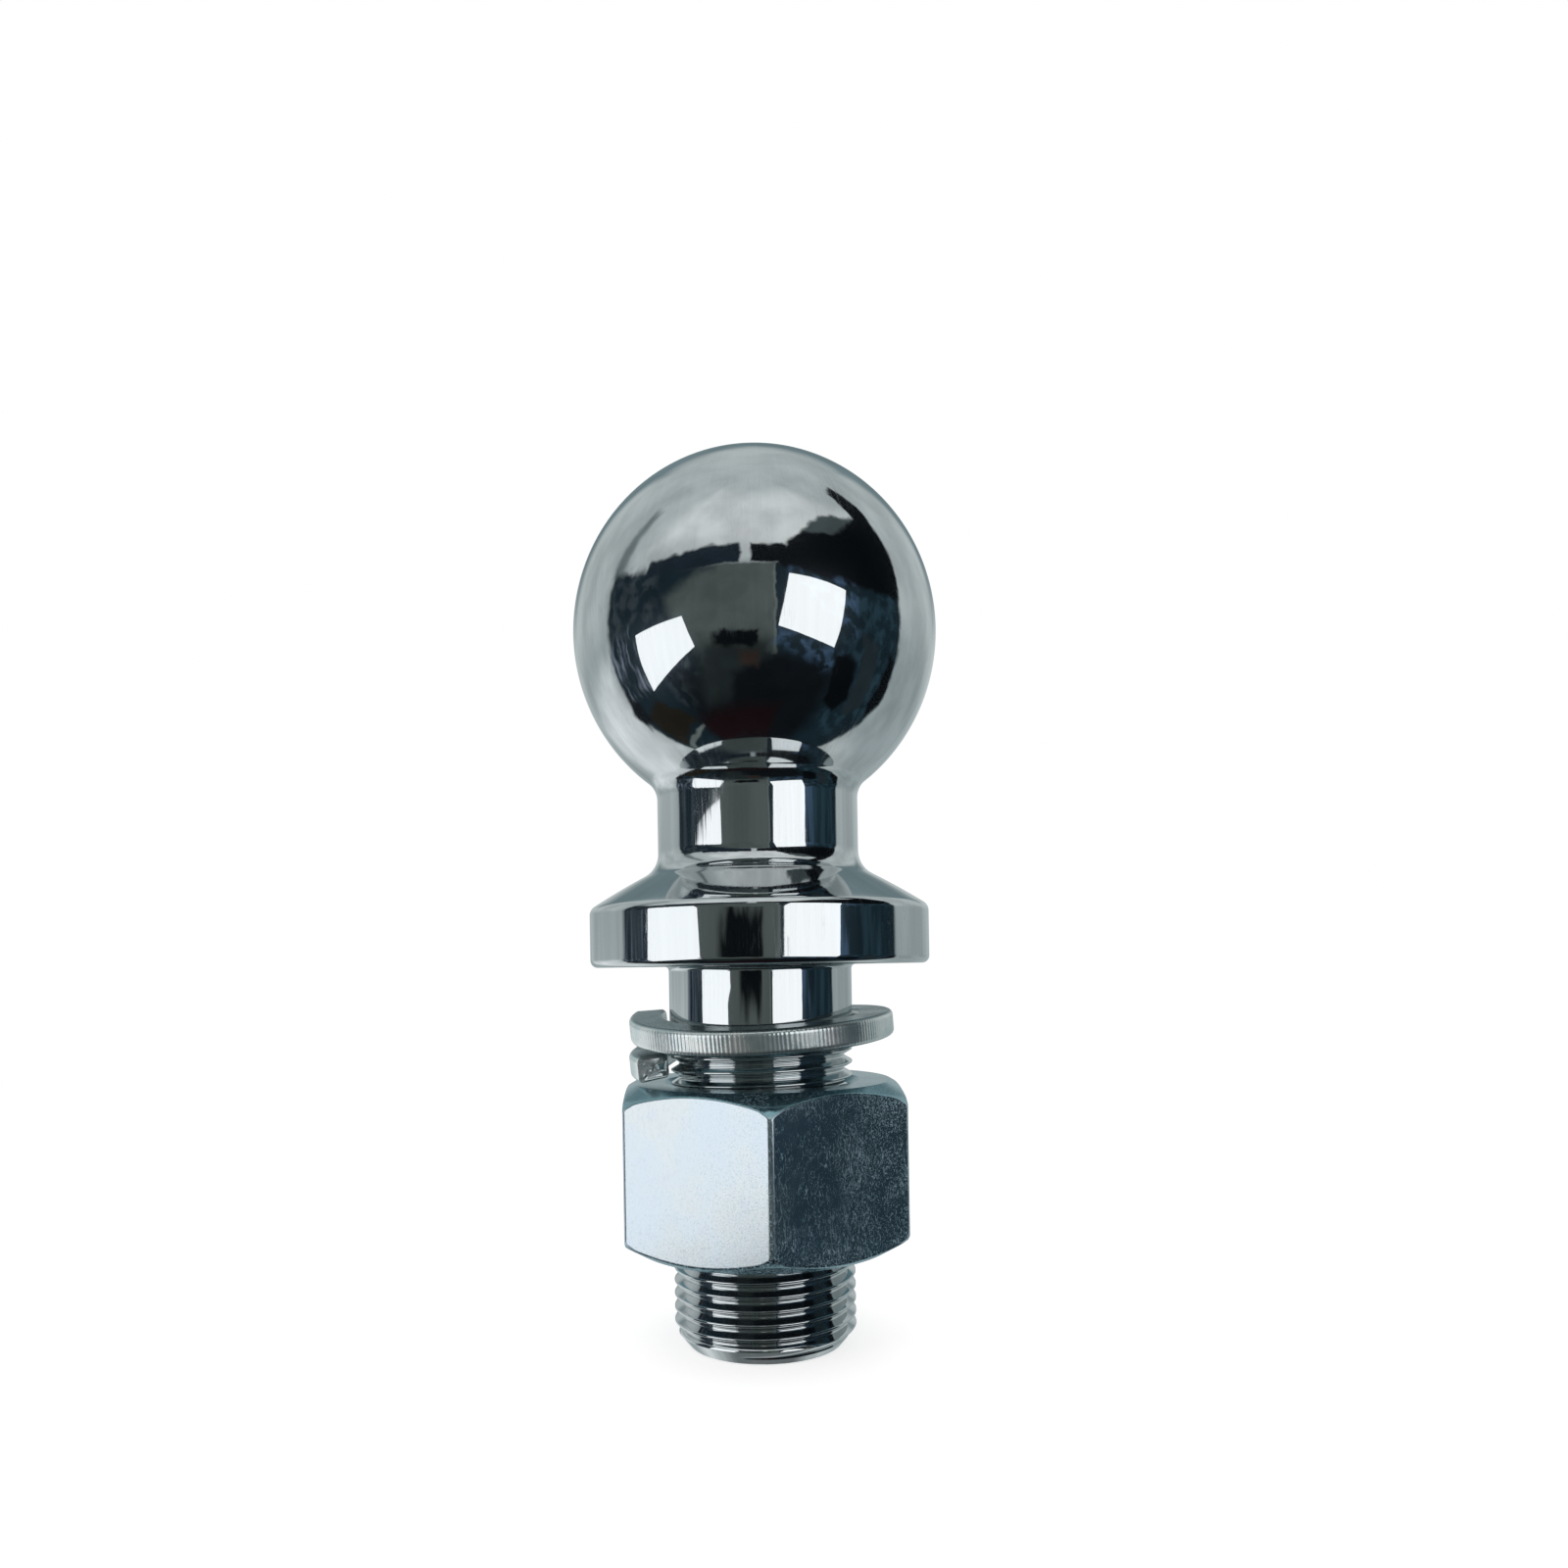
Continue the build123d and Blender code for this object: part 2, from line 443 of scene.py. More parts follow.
def add_black_card():
    """Stands where the camera stands, so near that each part of the object sees it at another height."""
    corners = (
        (BLACK_CARD_LEFT, BLACK_CARD_DEPTH, BLACK_CARD_LOW),
        (BLACK_CARD_RIGHT, BLACK_CARD_DEPTH, BLACK_CARD_LOW),
        (BLACK_CARD_RIGHT, BLACK_CARD_DEPTH, BLACK_CARD_HIGH),
        (BLACK_CARD_LEFT, BLACK_CARD_DEPTH, BLACK_CARD_HIGH),
    )
    nodes = add_plane("black_card", corners, ["camera", "diffuse"])
    place = nodes.coordinates()
    axes = nodes.axes(place)
    waver = nodes.spread(nodes.noise(place, 45, 3.0), BLACK_CARD_WAVER)
    across = nodes.band(nodes.math("ADD", axes["X"], waver), *BLACK_CARD_ACROSS)
    upward = nodes.band(nodes.math("ADD", axes["Z"], waver), *BLACK_CARD_UP)
    cover = nodes.math("MULTIPLY", across, upward)
    clear = nodes.add("BsdfTransparent").outputs[0]
    nodes.finish(nodes.mix_shaders(cover, clear, nodes.emission(BLACK)))


def depth_inside(nodes, place, corners):
    """How many degrees a direction is inside a card, which is below 0 outside it."""
    middle = sum((Vector(corner) for corner in corners), Vector((0, 0))) / len(corners)
    inside = None
    for start, end in zip(corners, corners[1:] + corners[:1]):
        along = Vector(end) - Vector(start)
        across = Vector((-along.y, along.x)).normalized()
        if across.dot(middle - Vector(start)) < 0:
            across = -across
        line = (across.x, across.y, -across.dot(Vector(start)))
        depth = nodes.add("VectorMath", {0: place, 1: line}, operation="DOT_PRODUCT").outputs["Value"]
        inside = depth if inside is None else nodes.math("MINIMUM", inside, depth)
    return inside


def lay_cards(nodes, place, broken, shown, cards):
    """Colour of the studio with these cards laid over it."""
    for tint, soft, texture, corners in cards:
        share = nodes.ramp(depth_inside(nodes, place, corners), -soft, soft)
        if texture:
            share = nodes.math("MULTIPLY", share, broken[texture])
        shown = nodes.mix(share, shown, tint)
    return shown


def add_world():
    """White to the camera. Metal sees a pale studio round and over a darker side behind the camera."""
    world = bpy.data.worlds.new("studio")
    world.use_nodes = True
    bpy.context.scene.world = world
    nodes = Nodes(world.node_tree)
    direction = nodes.coordinates("Generated")
    axes = nodes.axes(direction)
    turn = nodes.math("ARCTAN2", axes["X"], nodes.math("MULTIPLY", axes["Y"], -1.0))
    rise = nodes.math("ARCSINE", axes["Z"])

    # Edges waver a little, as they do in a reflection on plated metal
    waver = nodes.spread(nodes.noise(direction, 9.0, 3.0), WAVER)
    waver_up = nodes.spread(nodes.noise(direction, 11.0, 3.0, turn=(1, 2, 3)), WAVER)
    azimuth = nodes.math("MULTIPLY_ADD", turn, degrees(1), waver)
    elevation = nodes.math("MULTIPLY_ADD", rise, degrees(1), waver_up)
    place = nodes.add("CombineXYZ", {"X": azimuth, "Y": elevation, "Z": 1.0}).outputs[0]
    clouds = nodes.noise(place, 0.16, 5.0)
    streaks = nodes.noise(place, 1.0, 3.0, stretch=(0.30, 0.06, 1), turn=(0, 0, 0.25))
    broken = {"clouds": nodes.ramp(clouds, 0.42, 0.64), "streaks": nodes.ramp(streaks, 0.44, 0.70)}
    uneven = nodes.ramp(nodes.noise(direction, 3.5, 4.0), 0.3, 0.7, 0.86, 1.12)

    all_round = lay_cards(nodes, place, broken, PALE, STUDIO_ALL_ROUND)
    front = lay_cards(nodes, place, broken, all_round, STUDIO_AHEAD)
    ahead = nodes.math("LESS_THAN", nodes.math("ABSOLUTE", turn), radians(AHEAD))
    light = nodes.add("LightPath").outputs
    behind, before = nodes.background(all_round, uneven), nodes.background(front, uneven)
    studio = nodes.mix_shaders(ahead, behind, before)
    studio = nodes.mix_shaders(light["Is Diffuse Ray"], studio, nodes.background(AMBIENT))
    studio = nodes.mix_shaders(light["Is Camera Ray"], studio, nodes.background(WHITE))
    nodes.finish(studio, "OutputWorld")


def add_floor():
    """A pale disc that keeps the shadow and goes over into the white background."""
    ring = [(FLOOR_RADIUS * cos(a), FLOOR_RADIUS * sin(a), FOOT) for a in even_angles(FLOOR_SIDES)]
    nodes = add_plane("floor", ring, ["glossy"])
    place = nodes.coordinates()
    distance = nodes.add("VectorMath", {0: place}, operation="LENGTH").outputs["Value"]
    near = nodes.ramp(distance, FLOOR_CLEAR, FLOOR_GONE, 1.0, 0.0)
    matt = nodes.add("BsdfDiffuse", {"Color": FLOOR_TINT}).outputs[0]
    lift = nodes.emission(WHITE, FLOOR_LIFT)
    both = nodes.add("AddShader", {0: matt, 1: lift}).outputs[0]
    nodes.finish(nodes.mix_shaders(near, nodes.emission(WHITE), both))


# Outlines: lists of (distance from the axis, height)

def arc(centre, radius, start, end, steps):
    """Points on an arc, with its angles in degrees from straight outwards."""
    turns = [radians(start + (end - start) * i / steps) for i in range(steps + 1)]
    return [(centre[0] + radius * cos(t), centre[1] + radius * sin(t)) for t in turns]


def rounded(before, corner, after, radius, steps):
    """The points that replace a corner by an arc which touches both of its sides."""
    corner = Vector(corner)
    one = (Vector(before) - corner).normalized()
    two = (Vector(after) - corner).normalized()
    half = acos(max(-1.0, min(1.0, one.dot(two)))) / 2
    if pi / 2 - half < 1e-4:
        return [tuple(corner)] * (steps + 1)
    centre = corner + (one + two).normalized() * radius / sin(half)
    start = corner + one * radius / tan(half) - centre
    end = corner + two * radius / tan(half) - centre
    total = start.angle_signed(end)
    turned = [Matrix.Rotation(-total * i / steps, 2) @ start for i in range(steps + 1)]
    return [tuple(centre + point) for point in turned]


def rounded_line(corners, steps):
    """Points of a line through corners given as (distance, height, radius)."""
    places = [corner[:2] for corner in corners]
    points = [places[0]]
    for before, (x, z, radius), after in zip(places, corners[1:-1], places[2:]):
        points += rounded(before, (x, z), after, radius, steps) if radius else [(x, z)]
    return points + [places[-1]]


def supported(points):
    """Adds a point near both ends of each long straight stretch, where smooth shading then stays flat."""
    result = [points[0]]
    for start, end in zip(points, points[1:]):
        start, end = Vector(start), Vector(end)
        along = end - start
        if along.length > STRAIGHT:
            step = along.normalized() * SUPPORT
            result += [tuple(start + step), tuple(end - step)]
        result.append(tuple(end))
    return result


# Meshes

def even_angles(count):
    return np.arange(count) * 2 * pi / count


def ease(value):
    """From 0 to 1 smoothly."""
    value = np.clip(value, 0.0, 1.0)
    return value * value * (3 - 2 * value)


def around(outline, angles):
    """Turns an outline about the axis: an array of rows by columns of points."""
    reach = np.array([point[0] for point in outline])[:, None]
    height = np.array([point[1] for point in outline])[:, None]
    flat = np.broadcast_to(height, (len(outline), len(angles)))
    return np.stack([reach * np.cos(angles), reach * np.sin(angles), flat], axis=2)


def wrapped_faces(rows, columns, shift=0):
    """Quads of a grid that closes sideways. At the seam, a row meets the row that is shift further on."""
    faces, last = [], columns - 1
    for i in range(rows - 1):
        here, above = i * columns, (i + 1) * columns
        faces += [(here + j, here + j + 1, above + j + 1, above + j) for j in range(last)]
        if i + 1 + shift < rows:
            across = here + shift * columns
            faces.append((here + last, across, across + columns, above + last))
    return faces


def make_mesh(name, sheets):
    """One smooth closed mesh from sheets of (points, faces) whose edges meet."""
    points, faces, count = [], [], 0
    for sheet, quads in sheets:
        sheet = sheet.reshape(-1, 3)
        points.append(sheet)
        faces += [tuple(index + count for index in quad) for quad in quads]
        count += len(sheet)
    mesh = bpy.data.meshes.new(name)
    mesh.from_pydata(np.concatenate(points).tolist(), [], faces)
    work = bmesh.new()
    work.from_mesh(mesh)
    bmesh.ops.remove_doubles(work, verts=work.verts, dist=WELD)
    bmesh.ops.dissolve_degenerate(work, edges=work.edges, dist=WELD)
    bmesh.ops.recalc_face_normals(work, faces=work.faces)
    for face in work.faces:
        face.smooth = True
    work.to_mesh(mesh)
    work.free()
    return mesh


def add_piece(name, mesh, material, body, node):
    piece = bpy.data.objects.new(name, mesh)
    mesh.materials.append(material)
    bpy.context.scene.collection.objects.link(piece)
    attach(piece, body)
    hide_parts(node)


# Thread

def thread_rows():
    """Half a turn's outline from the middle of the valley to the middle of the crest, then mirrored.

    Each row is (share of the pitch from the valley, depth below the crest)."""
    crest_start = 0.5 - CREST_SHARE / 2
    sharp_depth = crest_start * PITCH / tan(FLANK_ANGLE)
    round_centre = sharp_depth - ROOT_ROUND / sin(FLANK_ANGLE)
    half = []
    for turn in (0, 30, 60):
        across = ROOT_ROUND * sin(radians(turn))
        half.append((across / PITCH, round_centre + ROOT_ROUND * cos(radians(turn))))
    for share in (0.15, 0.40, 0.425):
        half.append((share, (crest_start - share) * PITCH / tan(FLANK_ANGLE)))
    half.append((0.46, 0.0))
    return half + [(1 - share, depth) for share, depth in reversed(half[1:])]


def threaded_wall(low, high, angles, reach):
    """A wall with a helical thread between two heights.

    reach(height, depth) gives its distance from the axis, where depth is measured from the crest."""
    rows = thread_rows()
    turns = int((high - low) / PITCH) + 2 * SPARE_TURNS
    first = FIRST_VALLEY + PITCH * (int((low - FIRST_VALLEY) / PITCH) - SPARE_TURNS)
    shares = np.array([turn + share for turn in range(turns) for share, depth in rows])
    depths = np.array([depth for turn in range(turns) for share, depth in rows])
    heights = first + PITCH * (shares[:, None] + angles[None, :] / (2 * pi))
    heights = np.clip(heights, low, high)
    reaches = reach(heights, np.broadcast_to(depths[:, None], heights.shape))
    points = np.stack([reaches * np.cos(angles), reaches * np.sin(angles), heights], axis=2)
    return points, wrapped_faces(len(shares), len(angles), len(rows))


# Stud

def cone_outline():
    """The flange's crowned top, between the fillet at the neck and the round edge of the rim."""
    top = RIM_HEIGHT + (FLANGE_RADIUS - NECK_RADIUS) * tan(CONE_SLOPE)
    foot, edge = Vector((NECK_RADIUS, top)), Vector((FLANGE_RADIUS, RIM_HEIGHT))
    crown_radius = (edge - foot).length ** 2 / (8 * CONE_CROWN) + CONE_CROWN / 2
    inward = Vector((-sin(CONE_SLOPE), -cos(CONE_SLOPE)))
    crown_centre = (foot + edge) / 2 + inward * (crown_radius - CONE_CROWN)
    neck_side = NECK_RADIUS + CONE_FILLET - crown_centre.x
    neck_rise = sqrt((crown_radius + CONE_FILLET) ** 2 - neck_side ** 2)
    neck_turn = degrees(atan2(neck_rise, neck_side))
    rim_side = FLANGE_RADIUS - RIM_TOP_RADIUS - crown_centre.x
    rim_rise = sqrt((crown_radius - RIM_TOP_RADIUS) ** 2 - rim_side ** 2)
    rim_turn = degrees(atan2(rim_rise, rim_side))
    neck_centre = crown_centre + Vector((neck_side, neck_rise))
    rim_centre = crown_centre + Vector((rim_side, rim_rise))
    return (
        arc(neck_centre, CONE_FILLET, 180, 180 + neck_turn, steps=12)
        + arc(crown_centre, crown_radius, neck_turn, rim_turn, steps=12)[1:]
        + arc(rim_centre, RIM_TOP_RADIUS, rim_turn, 0, steps=10)[1:]
    )


def stud_outline():
    """From the ball's pole to the step where the thread begins."""
    fillet_reach = NECK_RADIUS + BALL_FILLET
    fillet_drop = sqrt((BALL_RADIUS + BALL_FILLET) ** 2 - fillet_reach ** 2)
    fillet_centre = (fillet_reach, BALL_CENTRE - fillet_drop)
    lowest = degrees(asin(fillet_drop / (BALL_RADIUS + BALL_FILLET)))
    ball = arc((0, BALL_CENTRE), BALL_RADIUS, 90, -lowest, steps=100)
    ball_fillet = arc(fillet_centre, BALL_FILLET, 180 - lowest, 180, steps=14)
    cone = cone_outline()
    below = rounded_line(
        (
            (*cone[-1], 0),
            (FLANGE_RADIUS, 0, RIM_BOTTOM_RADIUS),
            (SHANK_RADIUS, 0, SEAT_FILLET),
            (SHANK_RADIUS, -PLAIN_LENGTH, PLAIN_END_ROUND),
            (THREAD_RADIUS, -PLAIN_LENGTH - THREAD_STEP, 0),
        ),
        steps=9,
    )
    return supported(ball + ball_fillet[1:] + cone + below[1:])


def stud_thread_reach(height, depth):
    """The stud's thread dies out towards the plain shank and is cut off by the chamfer at the foot."""
    fade = ease((-PLAIN_LENGTH - THREAD_STEP - height) / RUNOUT)
    chamfer = THREAD_RADIUS - END_CHAMFER + (height - FOOT) * END_CHAMFER / END_CHAMFER_LENGTH
    return np.minimum(THREAD_RADIUS - depth * fade, chamfer)


def make_stud():
    angles = even_angles(STUD_COLUMNS)
    outline = stud_outline()
    turned = around(outline, angles), wrapped_faces(len(outline), STUD_COLUMNS)
    thread = threaded_wall(FOOT, outline[-1][1], angles, stud_thread_reach)
    end_outline = [(THREAD_RADIUS - END_CHAMFER, FOOT), (FOOT_RING_RADIUS, FOOT), (0, FOOT)]
    end = around(end_outline, angles), wrapped_faces(len(end_outline), STUD_COLUMNS)
    return make_mesh("ball_and_shank", [turned, thread, end])


# Nut

def nut_plan():
    """Rounded hexagon, as points (x, y)."""
    centre_distance = NUT_CORNER_DISTANCE - NUT_CORNER_RADIUS / cos(radians(30))
    corners = []
    for side in range(6):
        facing = NUT_FIRST_CORNER + 60 * side
        centre = (centre_distance * cos(radians(facing)), centre_distance * sin(radians(facing)))
        corners.append(arc(centre, NUT_CORNER_RADIUS, facing - 30, facing + 30, steps=8))
    plan = []
    for corner, following in zip(corners, corners[1:] + corners[:1]):
        start, end = Vector(corner[-1]), Vector(following[0])
        near = SUPPORT / (end - start).length
        shares = [near, *np.linspace(0, 1, NUT_FACE_COLUMNS + 2)[1:-1], 1 - near]
        plan += corner + [tuple(start.lerp(end, share)) for share in shares]
    return plan


def nut_end(reach):
    """One end of the nut, in the plane through the axis and the point of its plan at that reach.

    Its points are (distance from the axis, depth below the end face)."""
    drop = (NUT_CORNER_DISTANCE - NUT_FACE_RADIUS) * tan(NUT_SLOPE)
    tangent = NUT_SHOULDER_RADIUS * tan((pi / 2 - NUT_SLOPE) / 2)
    arc_start = NUT_CORNER_DISTANCE - tangent * cos(NUT_SLOPE)
    arc_centre = (NUT_CORNER_DISTANCE - NUT_SHOULDER_RADIUS, drop + tangent)

    def depth(distance):
        if distance <= arc_start:
            return (distance - NUT_FACE_RADIUS) * tan(NUT_SLOPE)
        return arc_centre[1] - sqrt(NUT_SHOULDER_RADIUS ** 2 - (distance - arc_centre[0]) ** 2)

    inner = [(NUT_MOUTH_RADIUS, 0), (NUT_MOUTH_RADIUS + SUPPORT, 0)]
    corner = (reach, depth(reach))
    face_edge = rounded(inner[-1], (NUT_FACE_RADIUS, 0), corner, NUT_EDGE_RADIUS / 2, steps=4)
    step = 0.1 * MM
    before, below = (reach - step, depth(reach - step)), (reach, corner[1] + step)
    outer_edge = rounded(before, corner, below, NUT_EDGE_RADIUS, steps=5)
    shares = np.linspace(0, 1, 10)[1:-1]
    start, width = face_edge[-1][0], outer_edge[0][0] - face_edge[-1][0]
    slope = [(start + width * share, depth(start + width * share)) for share in shares]
    return inner + face_edge + slope + outer_edge


def nut_bore_reach(height, depth):
    """The nut's thread is cut off by the cone at either mouth."""
    inside = np.minimum(NUT_TOP - height, height - NUT_BOTTOM)
    return np.maximum(THREAD_RADIUS + NUT_THREAD_CLEARANCE - depth, NUT_MOUTH_RADIUS - inside)


def make_nut():
    plan = nut_plan()
    angles = np.array([atan2(y, x) for x, y in plan])
    columns = []
    for x, y in plan:
        end = nut_end(sqrt(x * x + y * y))
        reach, drop = end[-1]
        upper = [(distance, NUT_TOP - depth) for distance, depth in end]
        side = [(reach, NUT_TOP - drop - SUPPORT), (reach, NUT_BOTTOM + drop + SUPPORT)]
        lower = [(distance, NUT_BOTTOM + depth) for distance, depth in reversed(end)]
        columns.append(upper + side + lower)
    distances, heights = np.array(columns).transpose(2, 1, 0)
    shell = np.stack([distances * np.cos(angles), distances * np.sin(angles), heights], axis=2)
    bore = threaded_wall(NUT_BOTTOM, NUT_TOP, np.unwrap(angles), nut_bore_reach)
    return make_mesh("nut_with_thread", [(shell, wrapped_faces(len(shell), len(plan))), bore])


# Spring washer

def wire_section():
    """Rounded rectangle as (outwards, up) from the wire's middle, with support points."""
    x, z = WIRE_WIDTH / 2, WIRE_THICKNESS / 2
    corners = [(x, -z), (x, z), (-x, z), (-x, -z)]
    points = []
    for index, corner in enumerate(corners):
        before, after = corners[index - 1], corners[(index + 1) % 4]
        points += rounded(before, corner, after, WIRE_CORNER, steps=5)
    return supported(points + points[:1])[:-1]


def draw_marks(out):
    """How deep the marks are along the wire and round its section. They are uneven in width and depth."""
    chance = np.random.default_rng(MARK_SEED)
    pace = np.cumsum(chance.uniform(0.6, 1.4, WASHER_STATIONS))
    pace *= radians(WASHER_SWEEP) * COIL_RADIUS / MARK_PITCH / pace[-1]
    knots = np.arange(0, WASHER_STATIONS + MARK_PATCH, MARK_PATCH)
    strength = np.interp(np.arange(WASHER_STATIONS), knots, chance.uniform(0.5, 1.3, len(knots)))
    depth = MARK_DEPTH * strength * (1 - np.sin(2 * pi * pace)) / 2
    outer = ease((out - WIRE_WIDTH / 2 + WIRE_CORNER) / (0.6 * WIRE_CORNER))
    return depth[:, None] * outer[None, :]


def washer_coil(out, up):
    """The wire's section at each station along its left-hand coil, which stands upright here."""
    swept = radians(WASHER_SWEEP) * np.linspace(0, 1, WASHER_STATIONS)
    flare = FLARE * (1 - ease(np.degrees(swept) / FLARE_SWEEP))
    slant = out[None, :] * tan(CUT_SLANT) / COIL_RADIUS
    slant = slant * (1 - ease(np.degrees(swept) / CUT_SLANT_SWEEP))[:, None]
    angle = -(swept[:, None] - slant)
    reach = COIL_RADIUS + out[None, :] + flare[:, None] - draw_marks(out)
    height = up[None, :] + WASHER_PITCH * swept[:, None] / (2 * pi) + flare[:, None] * LIFT_SHARE
    return np.stack([reach * np.cos(angle), reach * np.sin(angle), height], axis=2)


def washer_end(ring, ahead, out, up, burr, roughness):
    """Closes the wire with rings that shrink to its middle, torn, and with the burr on their inner side."""
    middle = ring.mean(axis=0)
    forward = ahead.mean(axis=0) / np.linalg.norm(ahead.mean(axis=0))
    cap = []
    for share in (1.0, 0.985, 0.94, 0.88, 0.8, 0.7, 0.6, 0.5, 0.4, 0.3, 0.2, 0.1, 0.0):
        across, along = out * share / WIRE_WIDTH, up * share / WIRE_THICKNESS
        torn = np.sin(31 * along + 9 * across) + np.sin(17 * across - 11 * along + 1)
        torn += np.sin(47 * across + 25 * along)
        lip = burr * ease((-across - 0.12) / 0.3) * (0.6 + 0.4 * np.sin(9 * along))
        rough = (torn * roughness / 3 + lip) * ease((1 - share) / 0.15)
        cap.append(middle + (ring - middle) * share + forward * rough[:, None])
    return np.stack(cap), wrapped_faces(len(cap), len(ring))


def make_washer():
    """A swept turn of flat wire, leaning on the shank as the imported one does."""
    out, up = np.array(wire_section()).transpose()
    points = washer_coil(out, up)
    lower_way, upper_way = points[0] - points[3], points[-1] - points[-4]
    sheets = [
        (points, wrapped_faces(WASHER_STATIONS, len(out))),
        washer_end(points[0], lower_way, out, up, BURR, CUT_ROUGH),
        washer_end(points[-1], upper_way, out, up, 0, UPPER_CUT_ROUGH),
    ]
    mesh = make_mesh("split_washer", sheets)
    mesh.transform(
        Matrix.Rotation(radians(WASHER_BACK_TILT), 4, "X")
        @ Matrix.Rotation(radians(-WASHER_SIDE_TILT), 4, "Y")
        @ Matrix.Rotation(radians(WASHER_END_ANGLE), 4, "Z")
    )
    high = Vector([max(vertex.co[axis] for vertex in mesh.vertices) for axis in range(3)])
    mesh.transform(Matrix.Translation(washer_high - high - Vector((1, 1, 1)) * WASHER_INSET))
    return mesh


# Materials

CHROME = colour(0.60, 0.625, 0.63)
CHROME_HAZE = colour(0.50, 0.58, 0.68)
CHROME_ROUGHNESS = (0.025, 0.05)
CHROME_RIPPLE = 0.005 * MM
NUT_ZINC = (colour(0.505, 0.560, 0.605), colour(0.545, 0.580, 0.590))
NUT_BLOTCH = colour(0.515, 0.545, 0.610)
# Colour of the nut's ends that face up or down: partly their turned finish, partly painted shade
NUT_TURNED_END_AND_SHADE = colour(0.22, 0.37, 0.41)
NUT_FILM = colour(0.36, 0.72, 0.95)
NUT_SCRAPED = colour(0.46, 0.68, 0.80)
NUT_ROUGHNESS = (0.14, 0.19)
NUT_GRAIN = 0.004 * MM
WASHER_ZINC = (colour(0.66, 0.75, 0.76), colour(0.92, 0.94, 0.92))
# Painted shade: the darker colour of the washer's flat faces
WASHER_FACE_SHADE = colour(0.33, 0.42, 0.44)
WASHER_ROUGHNESS = (0.19, 0.32)
WASHER_GRAIN = 0.010 * MM


def chrome_plate():
    """Bright chrome with fine polishing lines from pole to pole, and a faint haze."""
    material, nodes = new_material("chrome_plate")
    place = nodes.coordinates()
    axes = nodes.axes(place)
    girth = nodes.math("MULTIPLY", nodes.math("ARCTAN2", axes["X"], axes["Y"]), BALL_RADIUS)
    unrolled = nodes.add("CombineXYZ", {"X": girth, "Y": 0.0, "Z": axes["Z"]}).outputs[0]
    polish = nodes.noise(unrolled, 1000, 3.0, stretch=(1, 1, 0.05))
    worn = nodes.ramp(nodes.noise(place, 80, 3.0), 0.44, 0.62)
    scratches = nodes.math("MULTIPLY", nodes.lines(polish, 0.012), worn)
    roughness = nodes.ramp(worn, 0.0, 1.0, *CHROME_ROUGHNESS)
    roughness = nodes.math("MULTIPLY_ADD", scratches, 0.10, roughness)
    shade = nodes.ramp(polish, 0.25, 0.75, 0.975, 1.015)
    shade = nodes.math("MULTIPLY_ADD", scratches, -0.05, shade)
    tint = nodes.add("CombineColor", {"Red": shade, "Green": shade, "Blue": shade}).outputs[0]
    tint = nodes.mix(1.0, CHROME, tint, "MULTIPLY")
    ripple = nodes.noise(unrolled, 420, 2.0, stretch=(1, 1, 0.35))
    sharp = nodes.metal(tint, roughness, nodes.bump(ripple, CHROME_RIPPLE))
    haze = nodes.math("MULTIPLY_ADD", scratches, 0.20, 0.035)
    nodes.finish(nodes.mix_shaders(haze, sharp, nodes.metal(CHROME_HAZE, 0.30)))
    return material


def nut_wear(nodes, place, patches):
    """Spanners have worn the side of each face that they turn against, and the nut's lower part."""
    axes = nodes.axes(place)
    turn = nodes.math("ARCTAN2", axes["Y"], axes["X"])
    per_face, first = 3 / pi, radians(NUT_FIRST_CORNER)
    faces_on = nodes.math("MULTIPLY_ADD", turn, per_face, 10 - first * per_face)
    side = nodes.ramp(nodes.math("FRACT", faces_on), 0.30, 0.95)
    down = nodes.math("SUBTRACT", (NUT_TOP + NUT_BOTTOM) / 2, axes["Z"])
    wear = nodes.math("MAXIMUM", side, nodes.ramp(down, 3 * MM, 10.5 * MM, 0.0, 0.7))
    return nodes.math("MULTIPLY", wear, nodes.ramp(patches, 0.35, 0.60, 0.45, 1.0))


def nut_scratches(nodes, place, wear, patches, blotches):
    """Short upright scratches, mostly where it is worn, and longer ones that lean either way."""
    short = nodes.noise(place, 2300, 1.0, stretch=(1, 1, 0.38), turn=(0.25, 0.2, 0))
    leaning = nodes.noise(place, 1300, 1.0, stretch=(1, 1, 0.20), turn=(0.6, 0.7, 0))
    crossing = nodes.noise(place, 1100, 1.5, stretch=(1, 1, 0.26), turn=(-0.9, -0.8, 0))
    long = nodes.math("MAXIMUM", nodes.lines(leaning, 0.016), nodes.lines(crossing, 0.014))
    where = nodes.ramp(nodes.math("MULTIPLY_ADD", wear, 0.12, blotches), 0.38, 0.56)
    elsewhere = nodes.ramp(patches, 0.42, 0.58)
    short = nodes.math("MULTIPLY", nodes.lines(short, 0.030), where)
    return nodes.math("MAXIMUM", short, nodes.math("MULTIPLY", long, elsewhere))


